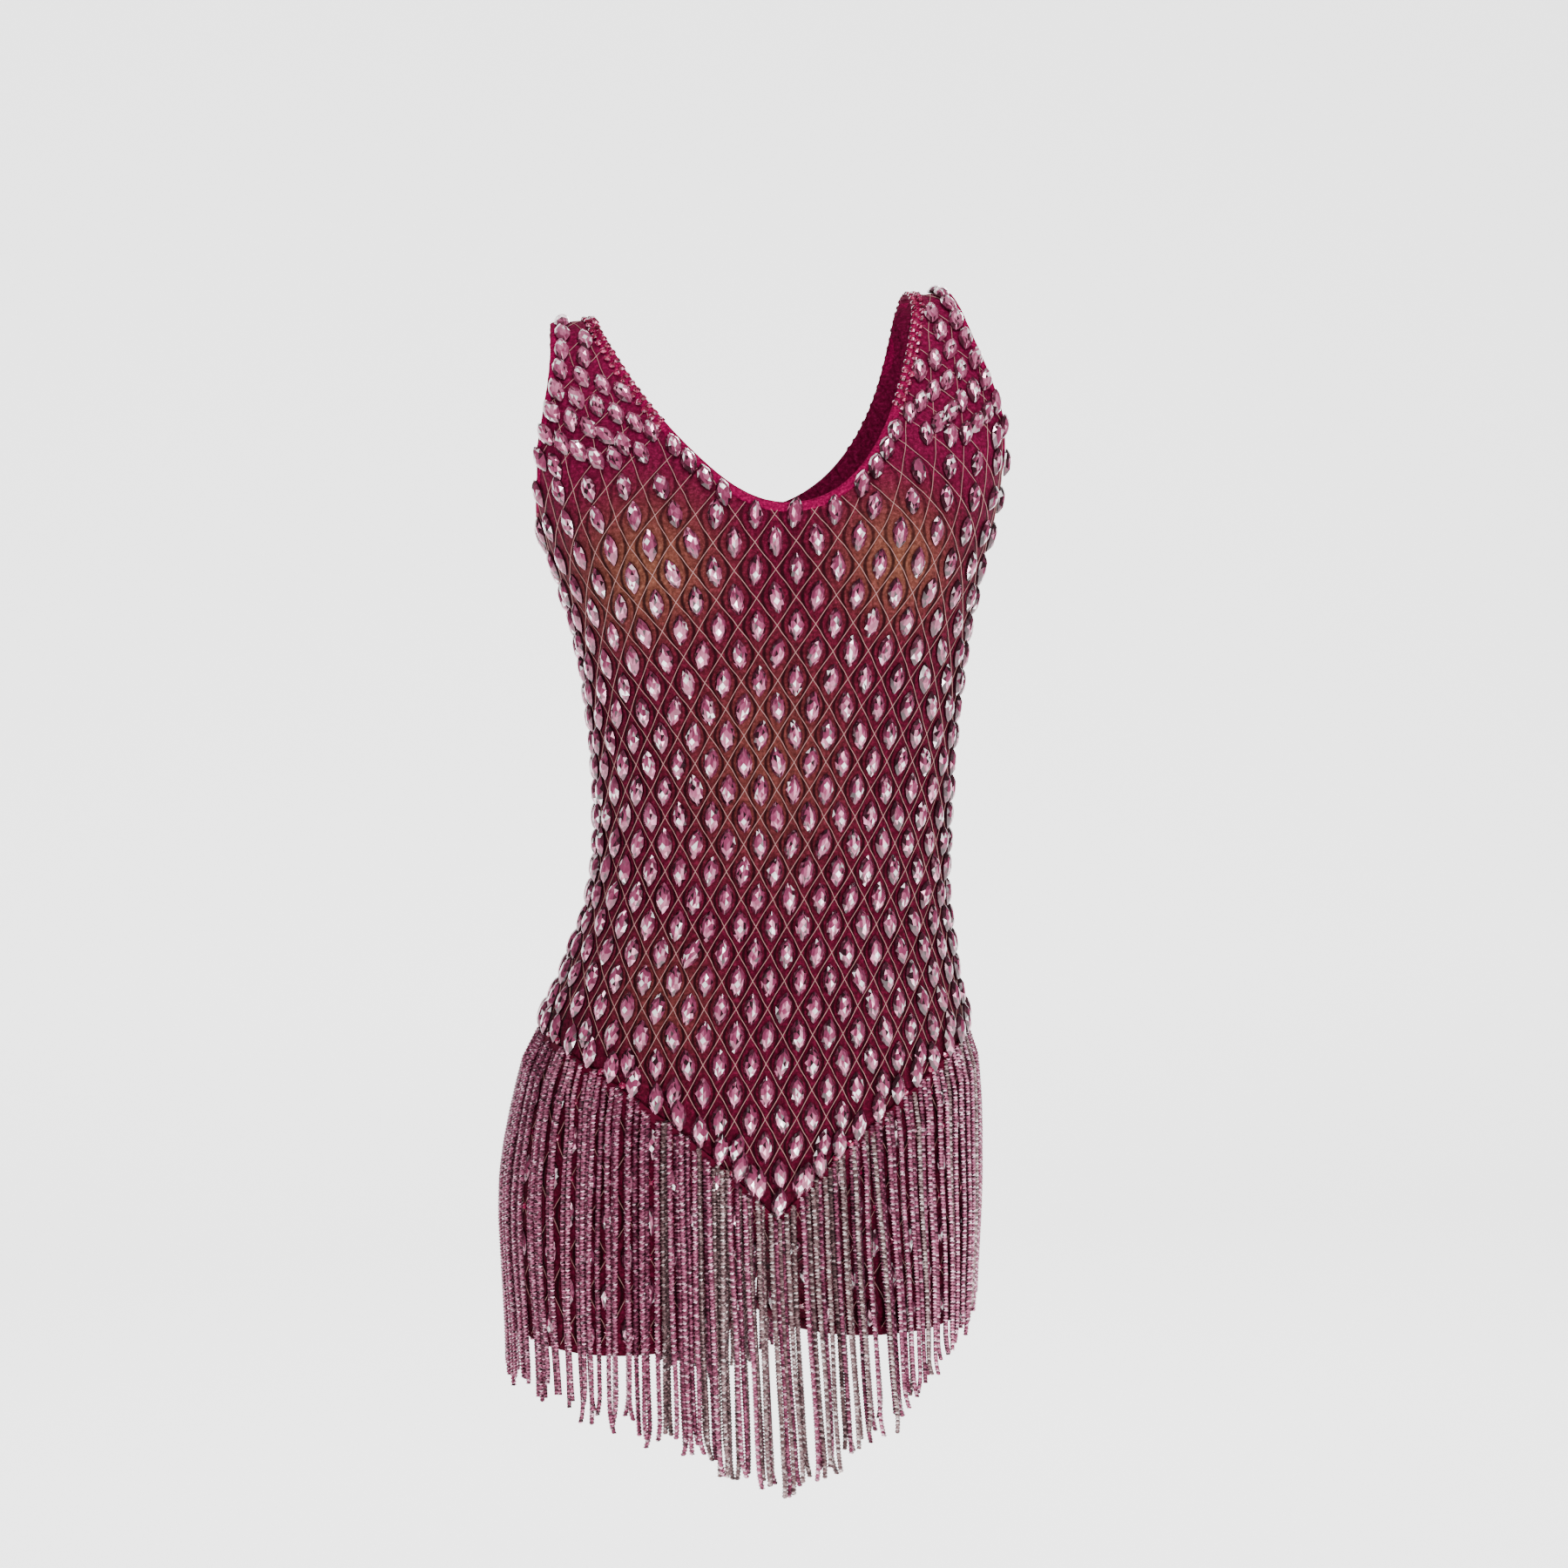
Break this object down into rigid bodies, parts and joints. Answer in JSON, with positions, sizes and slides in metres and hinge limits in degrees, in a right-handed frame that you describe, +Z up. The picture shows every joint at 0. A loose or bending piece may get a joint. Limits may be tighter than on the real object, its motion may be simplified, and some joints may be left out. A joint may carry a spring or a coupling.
{
  "type": "fringe stage jumpsuit",
  "caption": "Hollow worn sleeveless stage jumpsuit with a scoop neck, stones on a diamond net body, a V yoke line, very short legs and a long strand fringe.",
  "frame": {"origin": "midway between the two shoulder seams, where the wearer's shoulders hold the straps", "axes": "+Z up, -Y the front, +X the wearer's left"},
  "size_m": [0.3184, 0.2309, 0.7391],
  "materials": {
    "stone_net_cloth": "wine stretch mesh under a pale pink net, set with pale pink faceted stones",
    "stretch_binding": "bright magenta turned edge of stretch cloth",
    "chain_fringe": "metallic chain cord, pink with some champagne grey strands"
  },
  "bodies": {
    "root": {"body_front": "stone_net_cloth", "body_back": "stone_net_cloth", "leg_front_left": "stone_net_cloth", "leg_front_right": "stone_net_cloth", "leg_back_left": "stone_net_cloth", "leg_back_right": "stone_net_cloth", "fringe_front_left": "chain_fringe", "fringe_front_right": "chain_fringe", "fringe_back_left": "chain_fringe", "fringe_back_right": "chain_fringe", "neck_binding": "stretch_binding", "arm_binding_left": "stretch_binding", "arm_binding_right": "stretch_binding", "leg_binding_left": "stretch_binding", "leg_binding_right": "stretch_binding"}
  },
  "joints": []
}
